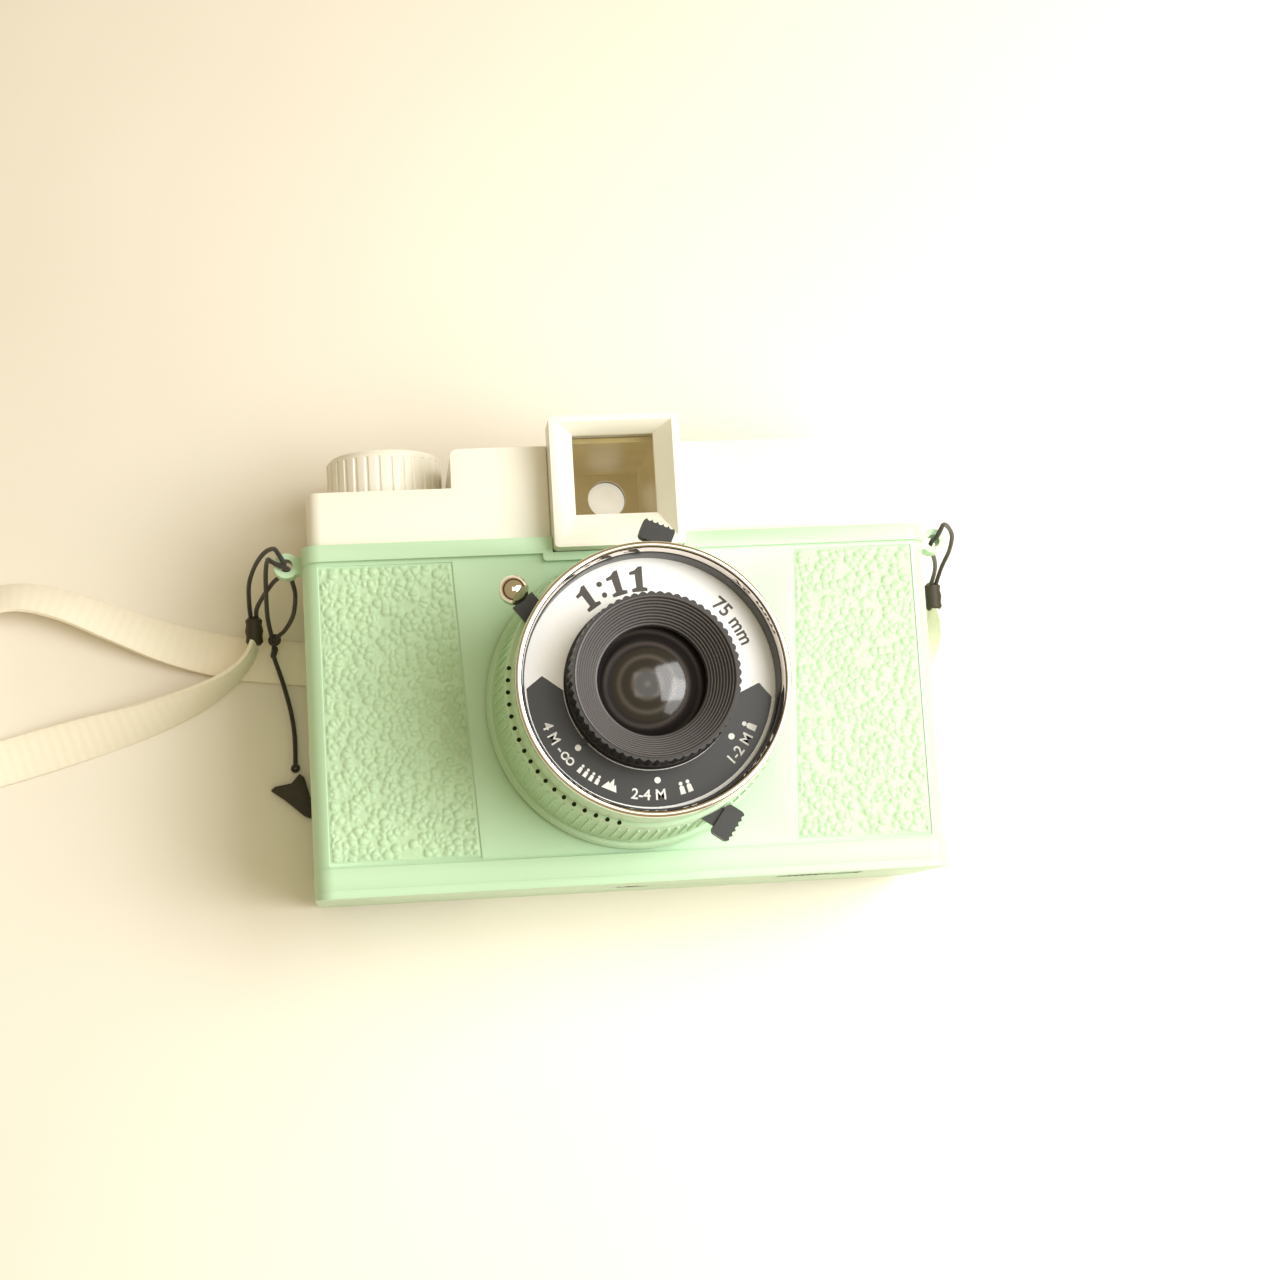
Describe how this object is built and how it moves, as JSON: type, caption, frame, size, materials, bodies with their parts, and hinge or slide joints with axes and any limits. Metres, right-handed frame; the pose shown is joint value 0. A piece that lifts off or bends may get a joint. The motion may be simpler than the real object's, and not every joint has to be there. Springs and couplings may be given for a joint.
{
  "type": "box camera for 120 roll film",
  "caption": "Plastic box camera for square pictures on roll film, on its back, with a turning lens barrel, winding knob, sliding back, large finder frame and a ribbon neck strap on thin cords.",
  "frame": {"origin": "on the floor, midway between the two cord lugs and midway between the underside and the finder frame's top", "axes": "the camera lies on its back: +X to the viewer's right, +Y from the tripod side to the finder side, +Z along the lens axis towards the subject"},
  "size_m": [0.3494, 0.12, 0.085],
  "materials": {
    "green_plastic": "satin mint green",
    "cream_plastic": "satin cream",
    "black_plastic": "satin black",
    "dark_card": "matt black",
    "bright_steel": "polished",
    "silver_plate": "brushed",
    "red_film": "clear red",
    "clear_plastic": "clear",
    "amber_tunnel": "olive amber",
    "beige_ribbon": "satin ribbon",
    "black_cord": "braided",
    "dark_leather": "grained"
  },
  "bodies": {
    "body": {"front_shell": "green_plastic", "top_cover": "cream_plastic", "inner_frame": "black_plastic", "film_mask": "dark_card", "supply_pin": "black_plastic", "ratchet_pawl": "bright_steel", "roll_springs": "bright_steel", "light_seal": "dark_card", "flash_sockets": "bright_steel", "finder_frame": "cream_plastic", "finder_glass": "clear_plastic", "finder_tunnel": "amber_tunnel", "eyepiece_ring": "black_plastic", "eyepiece_lens": "clear_plastic", "bayonet_plate": "black_plastic", "mount_screws": "bright_steel", "frame_screws": "bright_steel", "strap_lead": "beige_ribbon", "strap_coil": "beige_ribbon", "strap_return": "beige_ribbon", "ferrule_left": "dark_leather", "ferrule_right": "dark_leather", "loop_left": "black_cord", "loop_right": "black_cord", "leash_loop": "black_cord", "leash_cord": "black_cord", "leash_knot": "black_cord", "leash_bead": "black_cord", "cap_tab": "dark_leather"},
    "lens": {"lens_barrel": "green_plastic", "shutter_plate": "black_plastic", "spacer_plate": "dark_card", "scale_plate": "silver_plate", "bezel_ring": "silver_plate", "lever_spring": "bright_steel"},
    "arm": {"shutter_arm": "black_plastic", "lever_ball": "bright_steel"},
    "blade": {"shutter_blade": "dark_card"},
    "mode": {"mode_selector": "black_plastic"},
    "aperture": {"aperture_plate": "black_plastic"},
    "cell": {"lens_cell": "black_plastic", "lens_element": "clear_plastic"},
    "ring": {"focus_ring": "black_plastic"},
    "knob": {"winding_knob": "cream_plastic", "winding_key": "bright_steel", "takeup_spool": "black_plastic"},
    "back": {"back_cover": "green_plastic", "red_window": "red_film", "tripod_bush": "bright_steel"},
    "lock": {"back_lock": "black_plastic"},
    "shutter": {"window_shutter": "black_plastic"}
  },
  "joints": [
    {"name": "lens_twist", "type": "hinge", "parent": "body", "child": "lens", "pos_m": [0.0012, -0.01115, 0.05], "axis": [0, 0, 1], "range_deg": [0, 35]},
    {"name": "shutter_lever", "type": "hinge", "parent": "lens", "child": "arm", "pos_m": [-0.0154, -0.00255, 0.0718], "axis": [0, 0, 1], "range_deg": [0, 32], "stiffness_Nm_per_rad": 0.02, "springref_deg": -17.19},
    {"name": "shutter_swing", "type": "hinge", "parent": "lens", "child": "blade", "pos_m": [-0.0088, 0.00035, 0.0705], "axis": [0, 0, 1], "range_deg": [0, 45]},
    {"name": "mode_turn", "type": "hinge", "parent": "lens", "child": "mode", "pos_m": [-0.001, 0.00635, 0.0718], "axis": [0, 0, 1], "range_deg": [0, 26]},
    {"name": "aperture_turn", "type": "hinge", "parent": "lens", "child": "aperture", "pos_m": [0.0017, -0.02875, 0.0684], "axis": [0, 0, 1], "range_deg": [-55.4, 0]},
    {"name": "focus_travel", "type": "slide", "parent": "lens", "child": "cell", "axis": [0, 0, 1], "range_m": [0, 0.0041]},
    {"name": "focus_turn", "type": "hinge", "parent": "cell", "child": "ring", "pos_m": [0.0012, -0.01115, 0.08], "axis": [0, 0, 1], "range_deg": [0, 105]},
    {"name": "winding_turn", "type": "hinge", "parent": "body", "child": "knob", "pos_m": [-0.0471, 0.04, 0.02], "axis": [0, 1, 0], "continuous": true},
    {"name": "back_slide", "type": "slide", "parent": "body", "child": "back", "axis": [0, -1, 0], "range_m": [0, 0.08]},
    {"name": "lock_slide", "type": "slide", "parent": "back", "child": "lock", "axis": [1, 0, 0], "range_m": [0, 0.006]},
    {"name": "window_slide", "type": "slide", "parent": "back", "child": "shutter", "axis": [-1, 0, 0], "range_m": [0, 0.01]}
  ],
  "couplings": [
    {"joint": "shutter_swing", "follows": "shutter_lever", "ratio": 1.4},
    {"joint": "focus_turn", "follows": "focus_travel", "rad_per_m": 446}
  ]
}
